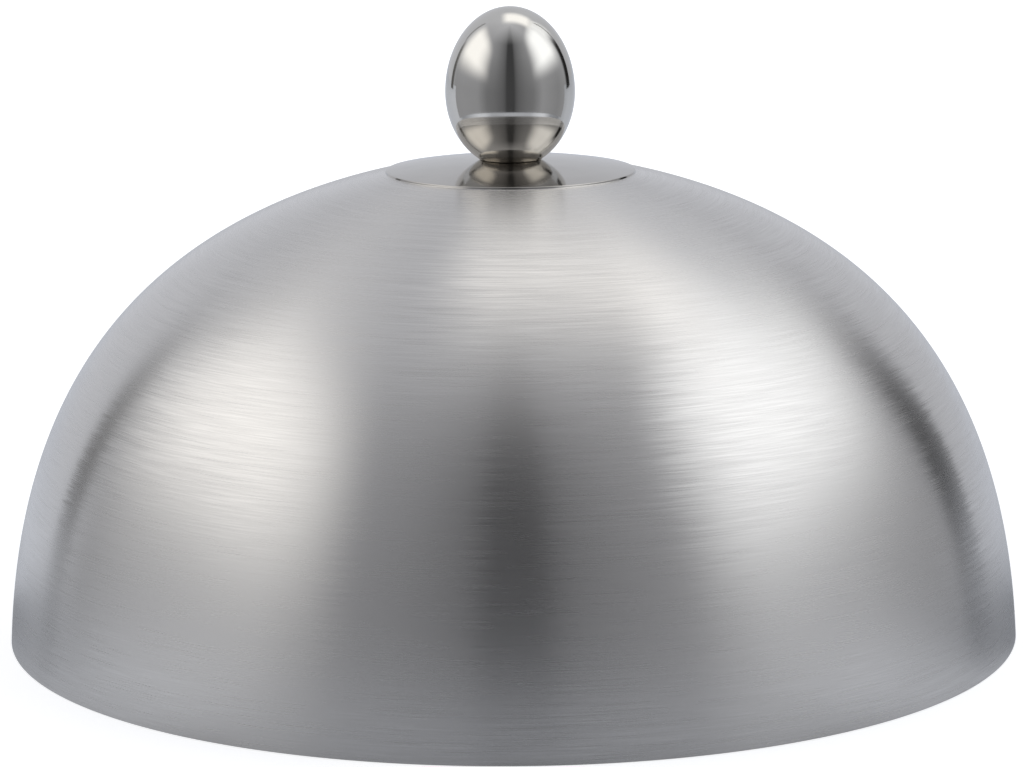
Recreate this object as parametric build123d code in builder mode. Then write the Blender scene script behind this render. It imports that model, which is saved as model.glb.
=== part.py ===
from build123d import *
import os
from math import acos, asin, atan2, cos, degrees, radians, sin, sqrt, tan

# Domed food cover in stainless steel: a spun dome whose crown stands a small step proud of its side,
# and a hollow ball knob on the crown, held from inside by one screw with two washers.
# Millimetres and degrees, +Z up, with the origin at the centre of the rim on the plane it rests on.

# Dome's side: one conic from the rim over the shoulder to the foot of the crown's step
RIM_DIAMETER = 240.0
SIDE_HEIGHT = 109.8
DOME_SHEET = 0.8
RIM_LEAN = 2.9
SIDE_FALL = 12.6
SHOULDER_FULLNESS = 1.02
RIM_EDGE_RADIUS = 0.2

# Crown: a shallow cap of a sphere above the step, with a flat seat for the knob
CROWN_DIAMETER = 59.0
CROWN_RADIUS = 165.0
STEP_HEIGHT = 0.5
STEP_RUN = 0.1
STEP_BEND_RADIUS = 0.15
SEAT_MARGIN = 0.5

# Ball knob: two half-shells that meet at the widest ring
KNOB_DIAMETER = 30.5
KNOB_CAP_HEIGHT = 20.0
KNOB_CUP_HEIGHT = 16.0
KNOB_SHEET = 0.8
KNOB_FOOT_MARGIN = 1.6

# Tapped boss in the bottom of the knob
BOSS_WALL = 1.5
BOSS_FLANGE_STEP = 1.5
BOSS_FLANGE_HEIGHT = 1.6
BOSS_END_WALL = 2.0
BOSS_EDGE = 0.3

# Pan-head screw with a cross recess
SCREW_DIAMETER = 5.0
SCREW_LENGTH = 10.0
SCREW_TIP_CHAMFER = 0.6
HEAD_DIAMETER = 9.5
HEAD_HEIGHT = 3.7
HEAD_ROUND = 2.0
RECESS_SPAN = 4.8
RECESS_WIDTH = 1.3
RECESS_DEPTH = 2.3
RECESS_TAPER = 8.0

# Washers
FLAT_WASHER_DIAMETER = 15.0
FLAT_WASHER_THICKNESS = 1.2
FLAT_WASHER_EDGE_RADIUS = 0.25
SPRING_WASHER_DIAMETER = 9.2
SPRING_WASHER_THICKNESS = 1.2
SPLIT_GAP = 0.9
SPLIT_SLANT = 25.0

# Clearances, on the radius
SCREW_HOLE_CLEARANCE = 0.25
WASHER_CLEARANCE = 0.15
SPIGOT_CLEARANCE = 0.05
THREAD_CLEARANCE = 0.05
TIP_ROOM = 1.2

# Radii that follow from the sizes above
rim_radius = RIM_DIAMETER / 2
step_foot_radius = CROWN_DIAMETER / 2
step_top_radius = step_foot_radius - STEP_RUN
knob_radius = KNOB_DIAMETER / 2
knob_bore_radius = knob_radius - KNOB_SHEET
flat_washer_radius = FLAT_WASHER_DIAMETER / 2
screw_radius = SCREW_DIAMETER / 2
screw_hole_radius = screw_radius + SCREW_HOLE_CLEARANCE
washer_hole_radius = screw_radius + WASHER_CLEARANCE
thread_radius = screw_radius + THREAD_CLEARANCE
spigot_radius = thread_radius + BOSS_WALL
flange_radius = spigot_radius + BOSS_FLANGE_STEP
knob_foot_radius = flange_radius + KNOB_FOOT_MARGIN
seat_radius = max(knob_foot_radius, flat_washer_radius) + SEAT_MARGIN

# Levels of the stack, from the crown's seat upwards and from the sheet downwards
step_top_level = SIDE_HEIGHT + STEP_HEIGHT
crown_centre_level = step_top_level - sqrt(CROWN_RADIUS**2 - step_top_radius**2)
knob_foot_level = crown_centre_level + sqrt(CROWN_RADIUS**2 - seat_radius**2)
knob_floor_level = knob_foot_level + KNOB_SHEET
knob_seam_level = knob_foot_level + KNOB_CUP_HEIGHT
knob_top_level = knob_seam_level + KNOB_CAP_HEIGHT
knob_ceiling_level = knob_top_level - KNOB_SHEET
flat_washer_top = knob_foot_level - DOME_SHEET
spring_washer_top = flat_washer_top - FLAT_WASHER_THICKNESS
head_top = spring_washer_top - SPRING_WASHER_THICKNESS
screw_tip_level = head_top + SCREW_LENGTH
thread_end_level = screw_tip_level + TIP_ROOM
boss_top_level = thread_end_level + BOSS_END_WALL

# Slopes of the dome's outline at the rim, below the step, on it and above it
lean = radians(RIM_LEAN)
side_fall = radians(SIDE_FALL)
step_fall = atan2(STEP_HEIGHT, STEP_RUN)
crown_fall = asin(step_top_radius / CROWN_RADIUS)


def shoulder_corner(rim, foot):
    """Point where the tangents of the dome's side at the rim and at the foot of the step meet."""
    height = (foot[1] - (rim[0] - foot[0]) * tan(side_fall)) / (1 - tan(lean) * tan(side_fall))
    return (rim[0] - height * tan(lean), height)


def behind(point, fall, next_fall):
    """Point on the inner face of the sheet behind one on the outer face, where its slope may change."""
    reach = DOME_SHEET / (1 + cos(next_fall - fall))
    return (point[0] - reach * (sin(fall) + sin(next_fall)), point[1] - reach * (cos(fall) + cos(next_fall)))


# Corners of the dome's section on the outer and on the inner face of the sheet
rim_outer = (rim_radius, 0)
rim_inner = (rim_radius - DOME_SHEET / cos(lean), 0)
foot_outer = (step_foot_radius, SIDE_HEIGHT)
foot_inner = behind(foot_outer, side_fall, step_fall)
side_end_inner = behind(foot_outer, side_fall, side_fall)
top_outer = (step_top_radius, step_top_level)
top_inner = behind(top_outer, step_fall, crown_fall)
seat_outer = (seat_radius, knob_foot_level)
crown_inner_radius = CROWN_RADIUS - DOME_SHEET
seat_inner = (sqrt(crown_inner_radius**2 - (flat_washer_top - crown_centre_level) ** 2), flat_washer_top)
shoulder_weights = [1.0, SHOULDER_FULLNESS, 1.0]

# Weights that make a curve of three points a quarter-ellipse, for the knob's cap
ellipse_weights = [1.0, sqrt(1 / 2), 1.0]

# Half-ellipse of the knob's cup, deep enough to narrow to the foot at the cup's height
cup_depth = KNOB_CUP_HEIGHT / sqrt(1 - (knob_foot_radius / knob_radius) ** 2)
foot_angle = degrees(acos(knob_foot_radius / knob_radius))
floor_angle = degrees(asin((KNOB_CUP_HEIGHT - KNOB_SHEET) / (cup_depth - KNOB_SHEET)))

os.makedirs("parts", exist_ok=True)

with BuildPart() as dome_shell:
    with BuildSketch(Plane.XZ):
        with BuildLine():
            Bezier(rim_outer, shoulder_corner(rim_outer, foot_outer), foot_outer, weights=shoulder_weights)
            Line(foot_outer, top_outer)
            RadiusArc(top_outer, seat_outer, -CROWN_RADIUS)
            Polyline(
                seat_outer,
                (screw_hole_radius, knob_foot_level),
                (screw_hole_radius, flat_washer_top),
                seat_inner,
            )
            RadiusArc(seat_inner, top_inner, crown_inner_radius)
            Polyline(top_inner, foot_inner, side_end_inner)
            Bezier(
                side_end_inner, shoulder_corner(rim_inner, side_end_inner), rim_inner, weights=shoulder_weights
            )
            Line(rim_inner, rim_outer)
        make_face()
    revolve(axis=Axis.Z)
    circles = dome_shell.edges().filter_by(lambda edge: edge.is_closed)
    bends = (foot_outer, top_outer, foot_inner, top_inner)
    fillet([circles.sort_by_distance((bend[0], 0, bend[1]))[0] for bend in bends], STEP_BEND_RADIUS)
    fillet(dome_shell.edges().group_by(Axis.Z)[0], RIM_EDGE_RADIUS)
dome_shell.part.label = "dome_shell"
export_step(dome_shell.part, "parts/dome_shell.step")

with BuildPart() as knob_cap:
    with BuildSketch(Plane.XZ):
        with BuildLine():
            for radius, top in ((knob_radius, knob_top_level), (knob_bore_radius, knob_ceiling_level)):
                Bezier((radius, knob_seam_level), (radius, top), (0, top), weights=ellipse_weights)
            Line((knob_radius, knob_seam_level), (knob_bore_radius, knob_seam_level))
            Line((0, knob_top_level), (0, knob_ceiling_level))
        make_face()
    revolve(axis=Axis.Z)
knob_cap.part.label = "knob_cap"
export_step(knob_cap.part, "parts/knob_cap.step")

with BuildPart() as knob_cup:
    with BuildSketch(Plane.XZ):
        with BuildLine():
            outside = EllipticalCenterArc((0, knob_seam_level), knob_radius, cup_depth, arc_size=-foot_angle)
            inside = EllipticalCenterArc(
                (0, knob_seam_level), knob_bore_radius, cup_depth - KNOB_SHEET, arc_size=-floor_angle
            )
            Line(outside @ 0, inside @ 0)
            Polyline(
                outside @ 1,
                (spigot_radius + SPIGOT_CLEARANCE, knob_foot_level),
                (spigot_radius + SPIGOT_CLEARANCE, knob_floor_level),
                inside @ 1,
            )
        make_face()
    revolve(axis=Axis.Z)
knob_cup.part.label = "knob_cup"
export_step(knob_cup.part, "parts/knob_cup.step")

with BuildPart() as knob_boss:
    with BuildSketch(Plane.XY.offset(knob_foot_level)):
        Circle(spigot_radius)
    extrude(amount=boss_top_level - knob_foot_level)
    with BuildSketch(Plane.XY.offset(knob_floor_level)):
        Circle(flange_radius)
    extrude(amount=BOSS_FLANGE_HEIGHT)
    with BuildSketch(Plane.XY.offset(knob_foot_level)):
        Circle(thread_radius)
    extrude(amount=thread_end_level - knob_foot_level, mode=Mode.SUBTRACT)
    thread_mouth = knob_boss.edges().group_by(Axis.Z)[0].sort_by(SortBy.RADIUS)[0]
    chamfer([thread_mouth, *knob_boss.edges().group_by(Axis.Z)[-1]], BOSS_EDGE)
knob_boss.part.label = "knob_boss"
export_step(knob_boss.part, "parts/knob_boss.step")

with BuildPart() as fixing_screw:
    with BuildSketch(Plane.XY.offset(head_top)):
        Circle(HEAD_DIAMETER / 2)
    extrude(amount=-HEAD_HEIGHT)
    fillet(fixing_screw.edges().group_by(Axis.Z)[0], HEAD_ROUND)
    with BuildSketch(Plane.XY.offset(head_top - HEAD_HEIGHT)):
        Rectangle(RECESS_SPAN, RECESS_WIDTH)
        Rectangle(RECESS_WIDTH, RECESS_SPAN)
    extrude(amount=RECESS_DEPTH, taper=RECESS_TAPER, mode=Mode.SUBTRACT)
    with BuildSketch(Plane.XY.offset(head_top)):
        Circle(screw_radius)
    extrude(amount=SCREW_LENGTH)
    chamfer(fixing_screw.edges().group_by(Axis.Z)[-1], SCREW_TIP_CHAMFER)
fixing_screw.part.label = "fixing_screw"
export_step(fixing_screw.part, "parts/fixing_screw.step")

with BuildPart() as flat_washer:
    with BuildSketch(Plane.XY.offset(flat_washer_top)):
        Circle(flat_washer_radius)
        Circle(washer_hole_radius, mode=Mode.SUBTRACT)
    extrude(amount=-FLAT_WASHER_THICKNESS)
    fillet(flat_washer.edges().group_by(Axis.Z)[0], FLAT_WASHER_EDGE_RADIUS)
flat_washer.part.label = "flat_washer"
export_step(flat_washer.part, "parts/flat_washer.step")

with BuildPart() as spring_washer:
    with BuildSketch(Plane.XY.offset(spring_washer_top)):
        Circle(SPRING_WASHER_DIAMETER / 2)
        Circle(washer_hole_radius, mode=Mode.SUBTRACT)
    extrude(amount=-SPRING_WASHER_THICKNESS)
    split_center = (SPRING_WASHER_DIAMETER / 2, 0, spring_washer_top - SPRING_WASHER_THICKNESS / 2)
    with Locations(Location(split_center, (SPLIT_SLANT, 0, 0))):
        Box(SPRING_WASHER_DIAMETER / 2, SPLIT_GAP, 3 * SPRING_WASHER_THICKNESS, mode=Mode.SUBTRACT)
spring_washer.part.label = "spring_washer"
export_step(spring_washer.part, "parts/spring_washer.step")
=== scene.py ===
"""Looks of a domed food cover: a brushed steel dome with a polished crown and a polished ball knob.

Fields are in millimetres and degrees, as on a maker's drawing. Meshes are in metres, in the frame of
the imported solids: +Z up, with the origin at the centre of the rim on the plane that it rests on.
"""

import logging
from abc import ABC, abstractmethod
from dataclasses import dataclass
from enum import Enum
from math import acos, asin, atan2, cos, degrees, hypot, isclose, pi, radians, sin, sqrt, tan
from typing import Any, ClassVar

import bmesh
import bpy
from mathutils import Matrix, Vector


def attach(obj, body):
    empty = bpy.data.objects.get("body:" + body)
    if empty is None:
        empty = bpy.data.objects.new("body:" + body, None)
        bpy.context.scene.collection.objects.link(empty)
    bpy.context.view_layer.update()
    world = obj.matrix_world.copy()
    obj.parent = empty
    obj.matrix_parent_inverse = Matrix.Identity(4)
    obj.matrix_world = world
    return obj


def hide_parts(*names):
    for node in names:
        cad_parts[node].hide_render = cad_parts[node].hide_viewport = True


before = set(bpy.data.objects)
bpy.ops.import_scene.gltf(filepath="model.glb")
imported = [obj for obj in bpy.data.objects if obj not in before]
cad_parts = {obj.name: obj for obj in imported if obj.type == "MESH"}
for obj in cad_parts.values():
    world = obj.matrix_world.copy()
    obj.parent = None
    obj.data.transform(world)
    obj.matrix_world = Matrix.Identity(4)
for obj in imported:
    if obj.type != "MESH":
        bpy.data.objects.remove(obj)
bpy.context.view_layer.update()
LOG = logging.getLogger("food_cover")

MM = 0.001
BODY = "root"
MERIDIAN = "meridian"
AXIS = (0.0, 0.0, 1.0)
SAME_PLACE_MM = 0.001
QUARTER_ELLIPSE = sqrt(1 / 2)
QUARTER_TURN = 0.25
WHITE = "#FFFFFF"
COOL_WHITE = "#F8FBFF"

# Nearly all of a noise lies between these levels
NOISE_LOW, NOISE_HIGH = 0.3, 0.7

# Sockets of a node that mixes colours, which share their names with its sockets for numbers
COLOUR_A, COLOUR_B, COLOUR_RESULT = 6, 7, 2

Point = tuple[float, float]
Stops = tuple[Point, ...]


class Slot(Enum):
    """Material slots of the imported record."""

    BRUSHED = "brushed_steel"
    POLISHED = "polished_steel"
    FASTENER = "fastener_steel"


class Skin(Enum):
    """Faces of the dome's sheet, as places in its list of materials."""

    SIDE = 0
    CROWN = 1
    INSIDE = 2


class Side(Enum):
    """Sides of the cover as the camera sees it, as ways along X."""

    LEFT = -1
    RIGHT = 1


def linear_rgb(hex_colour: str) -> tuple[float, float, float, float]:
    """Turns an sRGB colour into the linear values that a shader takes.

    Args:
        hex_colour: The colour as #RRGGBB.

    Returns:
        Red, green, blue and a full alpha.
    """
    channels = [int(hex_colour[i : i + 2], 16) / 255 for i in (1, 3, 5)]
    red, green, blue = (c / 12.92 if c <= 0.04045 else ((c + 0.055) / 1.055) ** 2.4 for c in channels)
    return (red, green, blue, 1.0)


def add_node(
    tree: bpy.types.NodeTree, kind: str, inputs: dict[str | int, Any] | None = None, **settings: Any
) -> bpy.types.Node:
    """Adds a node with its settings, its constants and its links.

    Args:
        tree: The node tree that the node joins.
        kind: Blender's name for the kind of node.
        inputs: For each input, by name or place, a constant or the socket that is linked to it.
        **settings: The node's own properties.

    Returns:
        The new node.
    """
    made = tree.nodes.new(kind)
    for key, value in settings.items():
        setattr(made, key, value)
    for key, value in (inputs or {}).items():
        if isinstance(value, bpy.types.NodeSocket):
            tree.links.new(value, made.inputs[key])
        else:
            made.inputs[key].default_value = value
    return made


def by_azimuth(
    tree: bpy.types.NodeTree, way: bpy.types.NodeSocket, stops: Stops
) -> bpy.types.NodeSocket:
    """Gives a level that goes by the turn round the axis.

    Args:
        tree: The node tree that the nodes join.
        way: The place or the direction whose turn counts.
        stops: Turns from the camera's side, from -180 at the back over the left, each with its level.

    Returns:
        The level.
    """
    parts = add_node(tree, "ShaderNodeSeparateXYZ", {0: way}).outputs
    towards = add_node(tree, "ShaderNodeMath", {0: parts["Y"], 1: -1.0}, operation="MULTIPLY").outputs[0]
    turn = add_node(tree, "ShaderNodeMath", {0: parts["X"], 1: towards}, operation="ARCTAN2").outputs[0]
    share = add_node(tree, "ShaderNodeMapRange", {"Value": turn, "From Min": -pi, "From Max": pi})
    ramp = add_node(tree, "ShaderNodeValToRGB", {"Fac": share.outputs["Result"]})
    elements = ramp.color_ramp.elements
    for i, (azimuth, level) in enumerate(stops):
        place = azimuth / 360 + 0.5
        # A new ramp has two stops
        element = elements[i] if i < 2 else elements.new(place)
        element.position = place
        element.color = (level, level, level, 1.0)
    return ramp.outputs["Color"]


def conic(start: Point, corner: Point, end: Point, fullness: float, spans: int) -> list[Point]:
    """Draws a conic between two points.

    Args:
        start: First point, as radius and level.
        corner: Where the tangents at both ends meet.
        end: Last point.
        fullness: Pull of the corner: under 1 an arc of an ellipse, and above 1 a fuller curve.
        spans: Number of spans.

    Returns:
        The points of the curve, both ends included.
    """
    points = []
    for i in range(spans + 1):
        t = i / spans
        pulls = ((1 - t) ** 2, 2 * t * (1 - t) * fullness, t * t)
        radius = sum(pull * place[0] for pull, place in zip(pulls, (start, corner, end)))
        level = sum(pull * place[1] for pull, place in zip(pulls, (start, corner, end)))
        points.append((radius / sum(pulls), level / sum(pulls)))
    return points


def straight(start: Point, end: Point, spans: int) -> list[Point]:
    """Draws a straight line as evenly spaced points.

    Args:
        start: First point, as radius and level.
        end: Last point.
        spans: Number of spans.

    Returns:
        The points of the line, both ends included.
    """
    middle = ((start[0] + end[0]) / 2, (start[1] + end[1]) / 2)
    return conic(start, middle, end, 1.0, spans)


def joined(*runs: list[Point]) -> list[Point]:
    """Joins runs of an outline end to end, and drops the points that repeat.

    Args:
        *runs: The runs in order, each of which starts where the last one ends.

    Returns:
        The outline's points.
    """
    outline: list[Point] = []
    for point in (p for run in runs for p in run):
        if not outline or hypot(point[0] - outline[-1][0], point[1] - outline[-1][1]) > SAME_PLACE_MM:
            outline.append(point)
    return outline


@dataclass(frozen=True)
class Steel(ABC):
    """What every steel finish shares: bare metal, whose colour is that of its reflections."""

    name: str
    dark: str
    light: str
    roughness: float

    def material(self) -> bpy.types.Material:
        """Makes the material, unless it was made before.

        Returns:
            The material.
        """
        if self.name in bpy.data.materials:
            return bpy.data.materials[self.name]
        made = bpy.data.materials.new(self.name)
        made.use_nodes = True
        tree = made.node_tree
        tree.nodes.clear()
        shader = add_node(tree, "ShaderNodeBsdfPrincipled", {"Metallic": 1.0})
        self.pattern(tree, shader)
        add_node(tree, "ShaderNodeOutputMaterial", {"Surface": shader.outputs["BSDF"]})
        return made

    @abstractmethod
    def pattern(self, tree: bpy.types.NodeTree, shader: bpy.types.Node) -> None:
        """Lays the finish's marks on the shader.

        Args:
            tree: The material's node tree.
            shader: Its shader node.
        """


@dataclass(frozen=True)
class BrushedSteel(Steel):
    """Stainless sheet brushed on a lathe with an abrasive pad.

    The lines run round the axis, so that lights blur up and down the dome and stay narrow sideways.
    A line is about 0.05 mm wide on the real sheet, and is drawn coarser so that it shows. Each line
    leans a little to one side, which frays the edges of what the sheet reflects.
    """

    line_width: float = 0.26
    line_length: float = 14.0
    line_depth: float = 0.004
    line_strength: float = 0.16
    line_lean: float = 0.015
    band_width: float = 1.1
    band_length: float = 26.0
    band_share: float = 0.3
    detail: float = 2.0
    roughness_spread: float = 0.03
    anisotropy: float = 0.97

    def pattern(self, tree: bpy.types.NodeTree, shader: bpy.types.Node) -> None:
        """Lays the brushed lines on the shader.

        Args:
            tree: The material's node tree.
            shader: Its shader node.
        """
        place = add_node(tree, "ShaderNodeTexCoord").outputs["Object"]
        grain = self.grain(tree, place)
        contrast = add_node(
            tree, "ShaderNodeMapRange", {"Value": grain, "From Min": NOISE_LOW, "From Max": NOISE_HIGH}
        ).outputs["Result"]
        tint = add_node(
            tree,
            "ShaderNodeMix",
            {"Factor": contrast, COLOUR_A: linear_rgb(self.dark), COLOUR_B: linear_rgb(self.light)},
            data_type="RGBA",
        )
        tree.links.new(tint.outputs[COLOUR_RESULT], shader.inputs["Base Color"])
        rough = add_node(
            tree,
            "ShaderNodeMapRange",
            {
                "Value": contrast,
                "To Min": self.roughness + self.roughness_spread,
                "To Max": self.roughness - self.roughness_spread,
            },
        )
        tree.links.new(rough.outputs["Result"], shader.inputs["Roughness"])
        bump = add_node(
            tree,
            "ShaderNodeBump",
            {"Height": grain, "Strength": self.line_strength, "Distance": self.line_depth * MM},
        )
        tangent = add_node(
            tree, "ShaderNodeVectorMath", {0: AXIS, 1: place}, operation="CROSS_PRODUCT"
        ).outputs[0]
        tree.links.new(tangent, shader.inputs["Tangent"])
        sideways = add_node(tree, "ShaderNodeVectorMath", {0: tangent}, operation="NORMALIZE").outputs[0]
        lean = add_node(
            tree,
            "ShaderNodeMapRange",
            {"Value": contrast, "To Min": -self.line_lean, "To Max": self.line_lean},
        ).outputs["Result"]
        leaned = add_node(
            tree,
            "ShaderNodeVectorMath",
            {0: sideways, 1: lean, 2: bump.outputs["Normal"]},
            operation="MULTIPLY_ADD",
        ).outputs[0]
        normal = add_node(tree, "ShaderNodeVectorMath", {0: leaned}, operation="NORMALIZE").outputs[0]
        tree.links.new(normal, shader.inputs["Normal"])
        shader.inputs["Anisotropic"].default_value = self.anisotropy
        # The blur lies across the lines
        shader.inputs["Anisotropic Rotation"].default_value = QUARTER_TURN

    def grain(self, tree: bpy.types.NodeTree, place: bpy.types.NodeSocket) -> bpy.types.NodeSocket:
        """Draws fine lines and broader bands round the axis.

        Args:
            tree: The material's node tree.
            place: The place on the piece.

        Returns:
            The lines and the bands together.
        """
        meridian = add_node(tree, "ShaderNodeAttribute", attribute_name=MERIDIAN).outputs["Fac"]
        marks = []
        for width, length in ((self.line_width, self.line_length), (self.band_width, self.band_length)):
            run = 1 / (length * MM)
            round_axis = add_node(
                tree, "ShaderNodeVectorMath", {0: place, 1: (run, run, 0)}, operation="MULTIPLY"
            )
            up_sheet = add_node(tree, "ShaderNodeMath", {0: meridian, 1: 1 / width}, operation="MULTIPLY")
            across = add_node(tree, "ShaderNodeCombineXYZ", {"Z": up_sheet.outputs[0]})
            vector = add_node(
                tree,
                "ShaderNodeVectorMath",
                {0: round_axis.outputs[0], 1: across.outputs[0]},
                operation="ADD",
            )
            noise = add_node(
                tree,
                "ShaderNodeTexNoise",
                {"Vector": vector.outputs[0], "Scale": 1.0, "Detail": self.detail},
            )
            marks.append(noise.outputs["Fac"])
        both = add_node(tree, "ShaderNodeMix", {"Factor": self.band_share, "A": marks[0], "B": marks[1]})
        return both.outputs["Result"]


@dataclass(frozen=True)
class PolishedSteel(Steel):
    """Stainless buffed to a mirror: crisp reflections, with a slight haze where hands have been."""

    haze_size: float = 7.0
    haze_spread: float = 0.025
    detail: float = 3.0

    def pattern(self, tree: bpy.types.NodeTree, shader: bpy.types.Node) -> None:
        """Lays a soft haze on the mirror.

        Args:
            tree: The material's node tree.
            shader: Its shader node.
        """
        place = add_node(tree, "ShaderNodeTexCoord").outputs["Object"]
        haze = add_node(
            tree,
            "ShaderNodeTexNoise",
            {"Vector": place, "Scale": 1 / (self.haze_size * MM), "Detail": self.detail},
        ).outputs["Fac"]
        rough = add_node(
            tree,
            "ShaderNodeMapRange",
            {
                "Value": haze,
                "From Min": NOISE_LOW,
                "From Max": NOISE_HIGH,
                "To Min": self.roughness - self.haze_spread,
                "To Max": self.roughness + self.haze_spread,
            },
        )
        tree.links.new(rough.outputs["Result"], shader.inputs["Roughness"])
        tint = add_node(
            tree,
            "ShaderNodeMix",
            {"Factor": haze, COLOUR_A: linear_rgb(self.light), COLOUR_B: linear_rgb(self.dark)},
            data_type="RGBA",
        )
        tree.links.new(tint.outputs[COLOUR_RESULT], shader.inputs["Base Color"])


# Brushed sheet: fine lines round the dome, which draw each light out into a soft upright streak
BRUSHED_SIDE = BrushedSteel("brushed_stainless_sheet", "#D4D1CD", "#DFDCD8", 0.258)
# Sheet as it leaves the spinning lathe: longer and coarser lines, a duller grey and broader lights
SPUN_INSIDE = BrushedSteel(
    "spun_stainless_sheet", "#BFBCB8", "#CCC9C5", 0.36, line_width=0.5, line_length=60.0, anisotropy=0.6
)
# Buffed sheet: a greyer mirror, in which edges are a little soft
POLISHED_CROWN = PolishedSteel("buffed_stainless_sheet", "#BEBAB4", "#C9C5BF", 0.1)
# Mirror polish: a bright, faintly warm reflection of the whole room with clear edges
MIRROR = PolishedSteel("mirror_polished_stainless", "#D1CEC8", "#D8D5CF", 0.08, haze_spread=0.02)
# Machined stainless: darker, with broad soft highlights and a fine mottle
FASTENER = PolishedSteel("bright_machined_stainless", "#AFADA9", "#BFBDB9", 0.28, haze_size=1.5)


@dataclass(frozen=True)
class Rounding:
    """A corner of an outline that is rounded over."""

    corner: Point
    setback: float
    segments: int = 5


@dataclass
class TurnedPiece(ABC):
    """A piece that is round about the cover's axis, turned from one outline."""

    name: ClassVar[str]
    slot: ClassVar[Slot]
    stands_for: ClassVar[tuple[str, ...]]
    steps: ClassVar[int] = 256

    @abstractmethod
    def outline(self) -> list[Point]:
        """Gives the section's outline, as radius and level. It is closed unless it ends on the axis."""

    @abstractmethod
    def finishes(self) -> list[Steel]:
        """Gives the finishes in the order of the piece's materials."""

    def roundings(self) -> list[Rounding]:
        """Gives the corners that are rounded over."""
        return []

    def skin(self, travel: float) -> int:
        """Gives the place in the list of materials of the faces that far along the outline."""
        return 0

    def build(self) -> bpy.types.Object:
        """Turns the outline round the axis, rounds its corners and adds the piece to the scene.

        Returns:
            The piece, which rides on the cover and stands for its solids.
        """
        mesh = bmesh.new()
        meridian = mesh.verts.layers.float.new(MERIDIAN)
        outline = self.outline()
        verts = [mesh.verts.new((radius * MM, 0.0, level * MM)) for radius, level in outline]
        travel = 0.0
        for last, vert in zip([verts[0], *verts], verts):
            travel += (vert.co - last.co).length / MM
            vert[meridian] = travel
        pairs = list(zip(verts, verts[1:]))
        if min(outline[0][0], outline[-1][0]) > 0:
            pairs.append((verts[-1], verts[0]))
        edges = [mesh.edges.new(pair) for pair in pairs]
        bmesh.ops.spin(
            mesh, geom=[*verts, *edges], axis=AXIS, angle=2 * pi, steps=self.steps, use_merge=True
        )
        bmesh.ops.remove_doubles(mesh, verts=mesh.verts, dist=SAME_PLACE_MM * MM)
        bmesh.ops.recalc_face_normals(mesh, faces=mesh.faces)
        for rounding in self.roundings():
            self.round_over(mesh, rounding)
        for face in mesh.faces:
            face.smooth = True
            face.material_index = self.skin(min(vert[meridian] for vert in face.verts))
        data = bpy.data.meshes.new(self.name)
        mesh.to_mesh(data)
        mesh.free()
        piece = bpy.data.objects.new(self.name, data)
        bpy.context.scene.collection.objects.link(piece)
        piece.modifiers.new("weighted normals", "WEIGHTED_NORMAL")
        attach(piece, BODY)
        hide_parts(*self.stands_for)
        return piece

    def round_over(self, mesh: bmesh.types.BMesh, rounding: Rounding) -> None:
        """Bevels the circle that a corner of the outline has turned into.

        Args:
            mesh: The turned mesh.
            rounding: The corner and how far the bevel sets back.
        """
        radius, level = (value * MM for value in rounding.corner)
        close = SAME_PLACE_MM * MM
        circle = [
            edge
            for edge in mesh.edges
            if all(
                isclose(vert.co.z, level, abs_tol=close)
                and isclose(hypot(vert.co.x, vert.co.y), radius, abs_tol=close)
                for vert in edge.verts
            )
        ]
        bmesh.ops.bevel(
            mesh,
            geom=circle,
            offset=rounding.setback * MM,
            offset_type="OFFSET",
            affect="EDGES",
            segments=rounding.segments,
            profile=0.5,
            material=-1,
        )

    def dress(self, piece: bpy.types.Object) -> None:
        """Gives the piece its finishes.

        Args:
            piece: The built piece.
        """
        for finish in self.finishes():
            piece.data.materials.append(finish.material())


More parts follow.
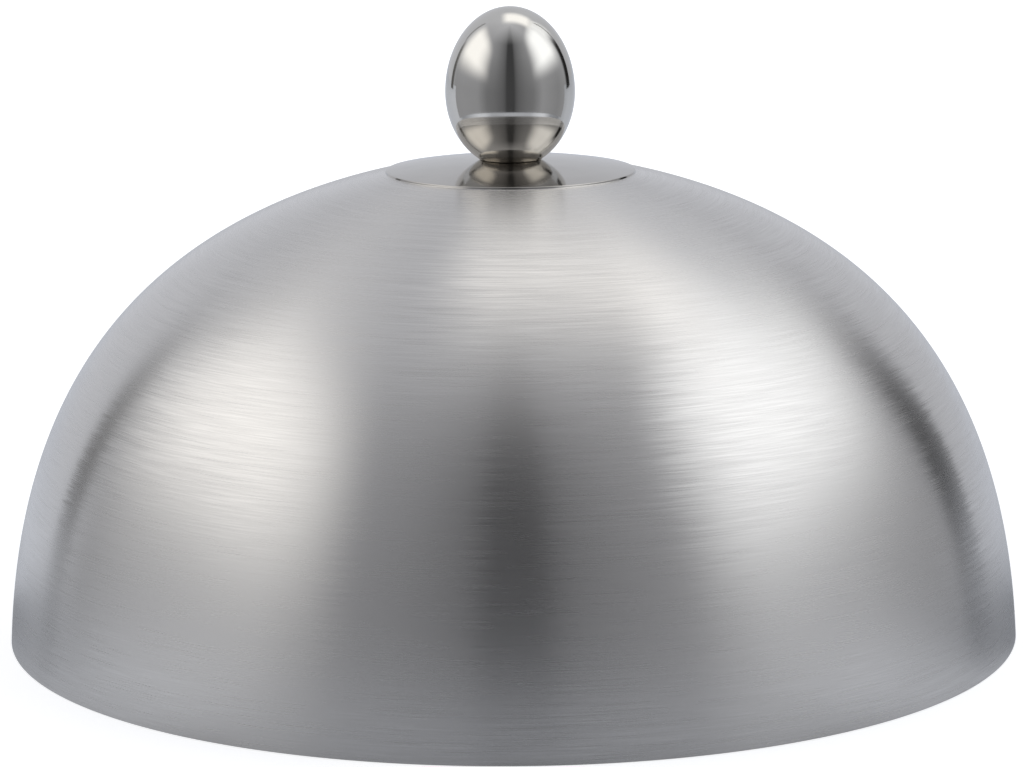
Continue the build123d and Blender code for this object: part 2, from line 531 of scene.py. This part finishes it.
@dataclass
class Dome(TurnedPiece):
    """Spun dome of one sheet: a brushed side, and a polished crown that stands a small step proud of it."""

    name: ClassVar[str] = "dome"
    slot: ClassVar[Slot] = Slot.BRUSHED
    stands_for: ClassVar[tuple[str, ...]] = ("dome_shell",)
    steps: ClassVar[int] = 320

    rim_radius: float = 120.0
    side_height: float = 109.8
    sheet: float = 0.8
    rim_lean: float = 2.9
    side_fall: float = 12.6
    shoulder_fullness: float = 1.02
    rim_edge: float = 0.2
    step_radius: float = 29.5
    step_height: float = 0.5
    step_run: float = 0.1
    step_bend: float = 0.15
    crown_radius: float = 165.0
    seat_radius: float = 8.0
    hole_radius: float = 2.75
    outer_spans: int = 110
    inner_spans: int = 70
    crown_spans: int = 24
    seat_spans: int = 4

    def __post_init__(self) -> None:
        """Works out the levels of the crown and the corners of the section on both faces of the sheet."""
        top_radius, top_level = self.step_radius - self.step_run, self.side_height + self.step_height
        self.crown_centre = top_level - sqrt(self.crown_radius**2 - top_radius**2)
        self.seat_level = self.crown_centre + sqrt(self.crown_radius**2 - self.seat_radius**2)
        self.step_fall = degrees(atan2(self.step_height, self.step_run))
        self.crown_fall = degrees(asin(top_radius / self.crown_radius))
        self.rim_outside = (self.rim_radius, 0.0)
        self.rim_inside = (self.rim_radius - self.sheet / cos(radians(self.rim_lean)), 0.0)
        self.foot_outside = (self.step_radius, self.side_height)
        self.foot_inside = self.behind(self.foot_outside, self.side_fall, self.step_fall)
        self.top_outside = (top_radius, top_level)
        self.top_inside = self.behind(self.top_outside, self.step_fall, self.crown_fall)
        outside = self.outside()
        lengths = [hypot(b[0] - a[0], b[1] - a[1]) for a, b in zip(outside, outside[1:])]
        self.side_length, self.outside_length = sum(lengths[: self.outer_spans]), sum(lengths)

    def behind(self, point: Point, fall: float, next_fall: float) -> Point:
        """Goes from a point on the outside of the sheet to the point behind it on the inside.

        Args:
            point: The point on the outside.
            fall: Slope of the sheet below it.
            next_fall: Slope of the sheet above it.

        Returns:
            The point on the inside.
        """
        below, above = radians(fall), radians(next_fall)
        reach = self.sheet / (1 + cos(above - below))
        return point[0] - reach * (sin(below) + sin(above)), point[1] - reach * (cos(below) + cos(above))

    def side(self, rim: Point, foot: Point, spans: int) -> list[Point]:
        """Draws the dome's side from the rim over the shoulder to the foot of the step.

        Args:
            rim: Point on the rim.
            foot: Point at the foot of the step.
            spans: Number of spans.

        Returns:
            The points of the side.
        """
        lean, fall = tan(radians(self.rim_lean)), tan(radians(self.side_fall))
        level = (foot[1] - (rim[0] - foot[0]) * fall) / (1 - lean * fall)
        return conic(rim, (rim[0] - level * lean, level), foot, self.shoulder_fullness, spans)

    def crown(self, top: Point, inset: float) -> list[Point]:
        """Draws the crown's arc from the top of the step to the flat seat, and the seat to the hole.

        Args:
            top: Point at the top of the step.
            inset: Depth of the face in the sheet.

        Returns:
            The points of the crown.
        """
        ball = self.crown_radius - inset
        level = self.seat_level - inset
        low, high = asin(top[0] / ball), acos((level - self.crown_centre) / ball)
        half, middle = (low - high) / 2, (low + high) / 2
        reach = ball / cos(half)
        corner = (reach * sin(middle), self.crown_centre + reach * cos(middle))
        seat = (ball * sin(high), level)
        arc = conic(top, corner, seat, cos(half), self.crown_spans)
        return joined(arc, straight(seat, (self.hole_radius, level), self.seat_spans))

    def outside(self) -> list[Point]:
        """Draws the outer face of the sheet, from the rim up to the hole."""
        side = self.side(self.rim_outside, self.foot_outside, self.outer_spans)
        return joined(side, self.crown(self.top_outside, 0.0))

    def inside(self) -> list[Point]:
        """Draws the inner face of the sheet.

        Returns:
            The points of the face, from the rim up to the hole.
        """
        side_end = self.behind(self.foot_outside, self.side_fall, self.side_fall)
        side = self.side(self.rim_inside, side_end, self.inner_spans)
        return joined(side, [self.foot_inside], self.crown(self.top_inside, self.sheet))

    def outline(self) -> list[Point]:
        """Gives the sheet's section, up the outside and back down the inside."""
        return joined(self.outside(), self.inside()[::-1])

    def skin(self, travel: float) -> int:
        """Gives the crown's finish from the step on, and the inside's finish after the hole's edge.

        Args:
            travel: Way along the outline from the outer edge of the rim.

        Returns:
            The place of the finish in the list of materials.
        """
        if travel > self.outside_length + SAME_PLACE_MM:
            return Skin.INSIDE.value
        return (Skin.CROWN if travel > self.side_length - SAME_PLACE_MM else Skin.SIDE).value

    def roundings(self) -> list[Rounding]:
        """Gives the bends of the step and the dressed edges of the rim.

        Returns:
            The corners of the section that are rounded over.
        """
        foot_setback = self.step_bend * tan(radians(self.step_fall - self.side_fall) / 2)
        top_setback = self.step_bend * tan(radians(self.step_fall - self.crown_fall) / 2)
        return [
            Rounding(self.foot_outside, foot_setback),
            Rounding(self.foot_inside, foot_setback),
            Rounding(self.top_outside, top_setback),
            Rounding(self.top_inside, top_setback),
            Rounding(self.rim_outside, self.rim_edge),
            Rounding(self.rim_inside, self.rim_edge),
        ]

    def finishes(self) -> list[Steel]:
        """Gives the brushed side, the polished crown and the plainer inside."""
        return [BRUSHED_SIDE, POLISHED_CROWN, SPUN_INSIDE]


@dataclass
class BallKnob(TurnedPiece):
    """Hollow egg-shaped ball of two half-shells, welded and polished until no seam shows."""

    name: ClassVar[str] = "ball_knob"
    slot: ClassVar[Slot] = Slot.POLISHED
    stands_for: ClassVar[tuple[str, ...]] = ("knob_cap", "knob_cup")

    foot_level: float
    radius: float = 15.25
    cap_height: float = 20.0
    cup_height: float = 16.0
    foot_radius: float = 7.15
    sheet: float = 0.8
    hole_radius: float = 4.1
    foot_edge: float = 0.15
    cap_spans: int = 72
    cup_spans: int = 56
    floor_spans: int = 4

    def half_shells(self, inset: float) -> tuple[list[Point], list[Point]]:
        """Draws the cap and the cup of the outer or the inner face.

        Args:
            inset: Depth of the face in the sheet.

        Returns:
            The cap from its top down to the widest ring, and the cup from there down to its bottom.
        """
        seam = self.foot_level + self.cup_height
        depth = self.cup_height / sqrt(1 - (self.foot_radius / self.radius) ** 2)
        wide, tall, deep = self.radius - inset, self.cap_height - inset, depth - inset
        bottom = self.foot_level + inset
        sweep = acos(sqrt(1 - ((seam - bottom) / deep) ** 2))
        cap = conic((0.0, seam + tall), (wide, seam + tall), (wide, seam), QUARTER_ELLIPSE, self.cap_spans)
        corner = (wide, seam - deep * tan(sweep / 2))
        cup = conic((wide, seam), corner, (wide * cos(sweep), bottom), cos(sweep / 2), self.cup_spans)
        return cap, cup

    def outline(self) -> list[Point]:
        """Gives the shell's section.

        Returns:
            Its points, down the outside, through the bottom and up the inside.
        """
        cap, cup = self.half_shells(0.0)
        inner_cap, inner_cup = self.half_shells(self.sheet)
        hole_outside = (self.hole_radius, self.foot_level)
        hole_inside = (self.hole_radius, self.foot_level + self.sheet)
        return joined(
            cap,
            cup,
            straight((self.foot_radius, self.foot_level), hole_outside, self.floor_spans),
            straight(hole_inside, inner_cup[-1], self.floor_spans),
            inner_cup[::-1],
            inner_cap[::-1],
        )

    def roundings(self) -> list[Rounding]:
        """Gives the edge of the foot."""
        return [Rounding((self.foot_radius, self.foot_level), self.foot_edge)]

    def finishes(self) -> list[Steel]:
        """Gives the mirror finish."""
        return [MIRROR]


@dataclass
class Fixing:
    """Screw, washers and tapped boss that hold the knob from inside, shown as their solids."""

    nodes: tuple[str, ...] = ("knob_boss", "fixing_screw", "flat_washer", "spring_washer")

    def dress(self) -> list[bpy.types.Object]:
        """Gives each solid the fastener finish.

        Returns:
            The dressed solids.
        """
        solids = [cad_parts[name] for name in self.nodes]
        for solid in solids:
            solid.data.materials.clear()
            solid.data.materials.append(FASTENER.material())
        return solids


@dataclass(frozen=True)
class Panel:
    """A flat sheet of even light, or a dark flag, whose edges fade into what is behind.

    The panel is drawn in its own plane, along X and up Y, and then stood in its place. Fades are the
    widths over which it comes up from its low and high end along X, and from those along Y.
    """

    name: str
    low: Point
    high: Point
    radiance: float
    fades: tuple[float, float, float, float]
    tint: str = WHITE

    def build(self, stands: Matrix) -> bpy.types.Object:
        """Adds the panel to the stage, unseen by the camera.

        Args:
            stands: Turn and place of the panel's plane.

        Returns:
            The panel.
        """
        low, high = Vector((*self.low, 0)) * MM, Vector((*self.high, 0)) * MM
        mesh = bmesh.new()
        bmesh.ops.create_grid(mesh, x_segments=1, y_segments=1, size=0.5)
        bmesh.ops.scale(mesh, vec=high - low, verts=mesh.verts)
        bmesh.ops.translate(mesh, vec=(low + high) / 2, verts=mesh.verts)
        data = bpy.data.meshes.new(self.name)
        mesh.to_mesh(data)
        mesh.free()
        panel = bpy.data.objects.new(self.name, data)
        panel.matrix_world = stands
        panel.visible_camera = False
        bpy.context.scene.collection.objects.link(panel)
        data.materials.append(self.material())
        return panel

    def material(self) -> bpy.types.Material:
        """Makes the panel's light.

        Returns:
            The material.
        """
        made = bpy.data.materials.new(self.name)
        made.use_nodes = True
        tree = made.node_tree
        tree.nodes.clear()
        place = add_node(tree, "ShaderNodeTexCoord").outputs["Object"]
        along = add_node(tree, "ShaderNodeSeparateXYZ", {0: place}).outputs
        share: Any = 1.0
        edges = [(axis, end, way) for axis in (0, 1) for end, way in ((self.low, 1), (self.high, -1))]
        for (axis, end, way), fade in zip(edges, self.fades):
            full_at = end[axis] + way * fade
            rise = add_node(
                tree,
                "ShaderNodeMapRange",
                {"Value": along[axis], "From Min": end[axis] * MM, "From Max": full_at * MM},
                interpolation_type="SMOOTHSTEP",
            )
            share = add_node(
                tree, "ShaderNodeMath", {0: share, 1: rise.outputs["Result"]}, operation="MULTIPLY"
            ).outputs[0]
        clear = add_node(tree, "ShaderNodeBsdfTransparent").outputs[0]
        glow = {"Color": linear_rgb(self.tint), "Strength": self.radiance}
        light = add_node(tree, "ShaderNodeEmission", glow).outputs[0]
        both = add_node(tree, "ShaderNodeMixShader", {0: share, 1: clear, 2: light})
        add_node(tree, "ShaderNodeOutputMaterial", {"Surface": both.outputs[0]})
        return made


# Panels of each side wall, drawn along the wall from front to back and up from the floor.
# Each stands behind the one before it, and shows where that one fades out.
SIDE_PANELS = {
    Side.LEFT: (
        Panel("left_panel", (-2150, 330), (1360, 2900), 1.45, (1800, 1050, 620, 1200)),
        Panel("left_edge", (1280, 900), (1480, 2700), 0.22, (60, 60, 300, 400)),
        Panel("left_flag", (900, -135), (1400, 1200), 0.12, (150, 100, 80, 450)),
    ),
    Side.RIGHT: (
        Panel("right_panel", (-1950, 390), (1150, 4200), 1.62, (1600, 1000, 640, 2200), COOL_WHITE),
        Panel("right_edge", (1300, 1000), (1500, 3000), 0.15, (60, 60, 300, 800)),
        Panel("right_fill", (350, 1000), (1950, 3500), 1.26, (450, 500, 600, 900), COOL_WHITE),
        Panel("right_flag", (790, -135), (1540, 1350), 0.02, (250, 120, 80, 500)),
    ),
}

# Panel under the ceiling, drawn from left to right and from front to back
TOP_PANEL = Panel("top_panel", (-500, 0), (1380, 1750), 1.46, (460, 600, 500, 900))

# Light of the room level with the cover, by the turn round its axis, set to match the reflections
HORIZON: Stops = (
    (-180, 0.70),
    (-150, 0.71),
    (-132, 0.70),
    (-116, 0.40),
    (-95, 0.42),
    (-60, 0.40),
    (-42, 0.25),
    (-28, 0.22),
    (-14, 0.165),
    (-9, 0.13),
    (-6, 0.078),
    (7, 0.076),
    (10, 0.125),
    (15, 0.17),
    (28, 0.225),
    (42, 0.26),
    (60, 0.42),
    (95, 0.34),
    (120, 0.42),
    (135, 0.58),
    (160, 0.64),
    (180, 0.70),
)

# The same further up the walls
UPPER_ROOM: Stops = (
    (-180, 0.70),
    (-150, 0.71),
    (-132, 0.69),
    (-100, 0.58),
    (-60, 0.50),
    (-42, 0.40),
    (-28, 0.32),
    (-14, 0.21),
    (-9, 0.155),
    (-6, 0.07),
    (7, 0.068),
    (10, 0.15),
    (15, 0.215),
    (28, 0.31),
    (42, 0.40),
    (60, 0.50),
    (100, 0.50),
    (120, 0.58),
    (135, 0.70),
    (160, 0.74),
    (180, 0.70),
)

# Glow of the floor in the metal, beside the light that falls on it, by the turn round the cover's axis
FLOOR_GLOW: Stops = (
    (-180, 0.38),
    (-150, 0.35),
    (-122, 0.42),
    (-110, 0.42),
    (-102, 0.18),
    (-95, 0.18),
    (-77, 0.37),
    (-61, 0.55),
    (-47, 0.52),
    (-34, 0.32),
    (36, 0.32),
    (51, 0.55),
    (65, 0.58),
    (81, 0.18),
    (101, 0.12),
    (109, 0.26),
    (125, 0.36),
    (145, 0.34),
    (180, 0.38),
)


@dataclass
class Studio:
    """Pale floor and room, soft panels with dark edges to both sides, one panel overhead, and the camera.

    The camera sees the floor and the room as white, and the metal sees them in their own tones; the
    floor's tone in the metal is a darker copy of its colour, painted shade, with a glow added. The floor
    is a ring: open under the cover, short on the camera's side and far-reaching behind.
    """

    # Camera, fitted to the photograph
    camera_place: tuple[float, float, float] = (0.0, -946.8, 246.7)
    camera_pitch: float = -11.22
    camera_roll: float = -0.376
    camera_lens: float = 142.63
    # Floor, which is short within the turn floor_opens to both sides of the camera
    floor_hole: float = 119.6
    floor_front: float = 300.0
    floor_reach: float = 5000.0
    floor_opens: float = 112.0
    floor_drop: float = 0.1
    floor_segments: int = 256
    floor_colour: str = "#B3B5B9"
    # Darker copy of the floor's colour that only the metal sees: painted shade of the floor in its
    # reflections
    floor_shade_in_metal: str = "#808389"
    # Glow of the floor for the camera, from beside the cover to far behind it
    near_glow: float = 0.75
    far_glow: float = 0.95
    far_to: float = 900.0
    # Glow of the floor in the metal: its level at the rim, and further out at so many radii of the hole
    glow_tint: str = "#F0F5FF"
    glow_at_rim: float = 0.75
    glow_outside: float = 1.35
    outside_at: float = 2.0
    # Room and the places of the panels
    room_tint: str = "#F1F4FC"
    upper_from: float = 38.0
    ceiling_level: float = 0.75
    ceiling_from: float = 55.0
    ceiling_to: float = 95.0
    wall: float = 1600.0
    panel_gap: float = 10.0
    overhead: float = 2100.0

    def add_camera(self) -> bpy.types.Object:
        """Adds the camera where the photograph was taken from.

        Returns:
            The camera.
        """
        lens = bpy.data.cameras.new("camera")
        lens.lens = self.camera_lens
        camera = bpy.data.objects.new("camera", lens)
        upright = Matrix.Rotation(pi / 2 + radians(self.camera_pitch), 4, "X")
        roll = Matrix.Rotation(radians(self.camera_roll), 4, "Z")
        camera.matrix_world = Matrix.Translation(Vector(self.camera_place) * MM) @ upright @ roll
        bpy.context.scene.collection.objects.link(camera)
        bpy.context.scene.camera = camera
        return camera

    def add_floor(self) -> bpy.types.Object:
        """Adds the floor, which is open under the cover so that its inside can be seen from below.

        Returns:
            The floor.
        """
        mesh = bmesh.new()
        hole = self.floor_hole * MM
        ring = bmesh.ops.create_circle(mesh, segments=self.floor_segments, radius=hole)["verts"]
        bmesh.ops.translate(mesh, vec=(0, 0, -self.floor_drop * MM), verts=ring)
        outer = bmesh.ops.extrude_edge_only(mesh, edges=mesh.edges)["geom"]
        for vert in (part for part in outer if isinstance(part, bmesh.types.BMVert)):
            turn = abs(degrees(atan2(vert.co.x, -vert.co.y)))
            reach = self.floor_reach if turn > self.floor_opens else self.floor_front
            vert.co.xy *= reach / self.floor_hole
        bmesh.ops.recalc_face_normals(mesh, faces=mesh.faces)
        if mesh.faces[:][0].normal.z < 0:
            bmesh.ops.reverse_faces(mesh, faces=mesh.faces)
        data = bpy.data.meshes.new("floor")
        mesh.to_mesh(data)
        mesh.free()
        floor = bpy.data.objects.new("floor", data)
        bpy.context.scene.collection.objects.link(floor)
        data.materials.append(self.floor_material())
        return floor

    def floor_material(self) -> bpy.types.Material:
        """Makes the pale floor, which the camera sees as white with the cover's shadow on it.

        Returns:
            The material, which is clear from below.
        """
        made = bpy.data.materials.new("pale_floor")
        made.use_nodes = True
        tree = made.node_tree
        tree.nodes.clear()
        place = add_node(tree, "ShaderNodeTexCoord").outputs["Object"]
        sees = add_node(tree, "ShaderNodeLightPath").outputs
        in_metal = add_node(
            tree,
            "ShaderNodeMath",
            {0: sees["Is Glossy Ray"], 1: sees["Is Transmission Ray"]},
            operation="MAXIMUM",
        ).outputs[0]
        shown = add_node(
            tree,
            "ShaderNodeMath",
            {0: sees["Is Camera Ray"], 1: self.camera_glow(tree, place)},
            operation="MULTIPLY",
        ).outputs[0]
        glow = add_node(
            tree,
            "ShaderNodeMath",
            {0: in_metal, 1: self.metal_glow(tree, place), 2: shown},
            operation="MULTIPLY_ADD",
        ).outputs[0]
        # Metal sees the floor in a darker colour, painted shade, with a tinted glow added; the camera sees
        # the paler colour
        colour, tint = (
            add_node(
                tree,
                "ShaderNodeMix",
                {"Factor": in_metal, COLOUR_A: linear_rgb(elsewhere), COLOUR_B: linear_rgb(mirrored)},
                data_type="RGBA",
            ).outputs[COLOUR_RESULT]
            for elsewhere, mirrored in ((self.floor_colour, self.floor_shade_in_metal), (WHITE, self.glow_tint))
        )
        matt = add_node(tree, "ShaderNodeBsdfDiffuse", {"Color": colour})
        light = add_node(tree, "ShaderNodeEmission", {"Color": tint, "Strength": glow})
        top = add_node(tree, "ShaderNodeAddShader", {0: matt.outputs[0], 1: light.outputs[0]})
        below = add_node(tree, "ShaderNodeBsdfTransparent")
        side = add_node(tree, "ShaderNodeNewGeometry").outputs["Backfacing"]
        both = add_node(tree, "ShaderNodeMixShader", {0: side, 1: top.outputs[0], 2: below.outputs[0]})
        add_node(tree, "ShaderNodeOutputMaterial", {"Surface": both.outputs[0]})
        return made

    def camera_glow(self, tree: bpy.types.NodeTree, place: bpy.types.NodeSocket) -> bpy.types.NodeSocket:
        """Gives the glow that makes the lit floor white for the camera, stronger where less light falls.

        Args:
            tree: The floor's node tree.
            place: The place on the floor.

        Returns:
            The strength of the glow.
        """
        depth = add_node(tree, "ShaderNodeSeparateXYZ", {0: place}).outputs["Y"]
        return add_node(
            tree,
            "ShaderNodeMapRange",
            {
                "Value": depth,
                "From Min": 0.0,
                "From Max": self.far_to * MM,
                "To Min": self.near_glow,
                "To Max": self.far_glow,
            },
        ).outputs["Result"]

    def metal_glow(self, tree: bpy.types.NodeTree, place: bpy.types.NodeSocket) -> bpy.types.NodeSocket:
        """Gives the glow of the floor in the metal, which goes by the turn and by the way out.

        Args:
            tree: The floor's node tree.
            place: The place on the floor.

        Returns:
            The strength of the glow.
        """
        out = add_node(tree, "ShaderNodeVectorMath", {0: place}, operation="LENGTH").outputs["Value"]
        outward = add_node(
            tree,
            "ShaderNodeMapRange",
            {
                "Value": out,
                "From Min": self.floor_hole * MM,
                "From Max": self.outside_at * self.floor_hole * MM,
                "To Min": self.glow_at_rim,
                "To Max": self.glow_outside,
            },
        ).outputs["Result"]
        by_turn = by_azimuth(tree, place, FLOOR_GLOW)
        return add_node(tree, "ShaderNodeMath", {0: by_turn, 1: outward}, operation="MULTIPLY").outputs[0]

    def add_world(self) -> bpy.types.World:
        """Adds the room: a pale backdrop behind, and a dim side where the camera stands.

        Returns:
            The world.
        """
        world = bpy.data.worlds.new("studio")
        world.use_nodes = True
        tree = world.node_tree
        tree.nodes.clear()
        looks = add_node(tree, "ShaderNodeTexCoord").outputs["Generated"]
        way = add_node(tree, "ShaderNodeSeparateXYZ", {0: looks})
        rise = add_node(tree, "ShaderNodeMath", {0: way.outputs["Z"]}, operation="ARCSINE").outputs[0]
        up_wall, to_ceiling = (
            add_node(
                tree,
                "ShaderNodeMapRange",
                {"Value": rise, "From Min": radians(start), "From Max": radians(end)},
            ).outputs["Result"]
            for start, end in ((0.0, self.upper_from), (self.ceiling_from, self.ceiling_to))
        )
        low, upper = by_azimuth(tree, looks, HORIZON), by_azimuth(tree, looks, UPPER_ROOM)
        ceiling = (self.ceiling_level, self.ceiling_level, self.ceiling_level, 1.0)
        walls = add_node(
            tree, "ShaderNodeMix", {"Factor": up_wall, COLOUR_A: low, COLOUR_B: upper}, data_type="RGBA"
        ).outputs[COLOUR_RESULT]
        grey = add_node(
            tree,
            "ShaderNodeMix",
            {"Factor": to_ceiling, COLOUR_A: walls, COLOUR_B: ceiling},
            data_type="RGBA",
        ).outputs[COLOUR_RESULT]
        room = add_node(
            tree,
            "ShaderNodeMix",
            {"Factor": 1.0, COLOUR_A: grey, COLOUR_B: linear_rgb(self.room_tint)},
            data_type="RGBA",
            blend_type="MULTIPLY",
        ).outputs[COLOUR_RESULT]
        seen = add_node(tree, "ShaderNodeLightPath").outputs["Is Camera Ray"]
        shown = add_node(
            tree,
            "ShaderNodeMix",
            {"Factor": seen, COLOUR_A: room, COLOUR_B: linear_rgb(WHITE)},
            data_type="RGBA",
        ).outputs[COLOUR_RESULT]
        background = add_node(tree, "ShaderNodeBackground", {"Color": shown})
        add_node(tree, "ShaderNodeOutputWorld", {"Surface": background.outputs[0]})
        bpy.context.scene.world = world
        return world

    def add_panels(self) -> list[bpy.types.Object]:
        """Adds the panels and flags of both sides and the panel overhead.

        Returns:
            The panels.
        """
        panels = []
        for side, row in SIDE_PANELS.items():
            # A panel's X runs back along the wall, and its Y up
            upright = Matrix(((0, 0, -side.value, 0), (1, 0, 0, 0), (0, 1, 0, 0), (0, 0, 0, 1)))
            for order, panel in enumerate(row):
                out = side.value * (self.wall + order * self.panel_gap) * MM
                panels.append(panel.build(Matrix.Translation((out, 0, 0)) @ upright))
        panels.append(TOP_PANEL.build(Matrix.Translation((0, 0, self.overhead * MM))))
        return panels


def main() -> None:
    """Builds and dresses the cover piece by piece, then sets up the studio."""
    logging.basicConfig(level=logging.INFO, format="%(name)s: %(message)s")
    dome = Dome()
    for part in (dome, BallKnob(dome.seat_level)):
        piece = part.build()
        part.dress(piece)
        LOG.info("%s: %d faces, for %s", piece.name, len(piece.data.polygons), ", ".join(part.stands_for))
    for solid in Fixing().dress():
        LOG.info("%s: dressed as it is", solid.name)
    studio = Studio()
    for thing in (studio.add_camera(), studio.add_floor(), studio.add_world(), *studio.add_panels()):
        LOG.info("studio: %s", thing.name)
    bpy.context.scene.view_settings.view_transform = "Standard"


if __name__ == "__main__":
    main()
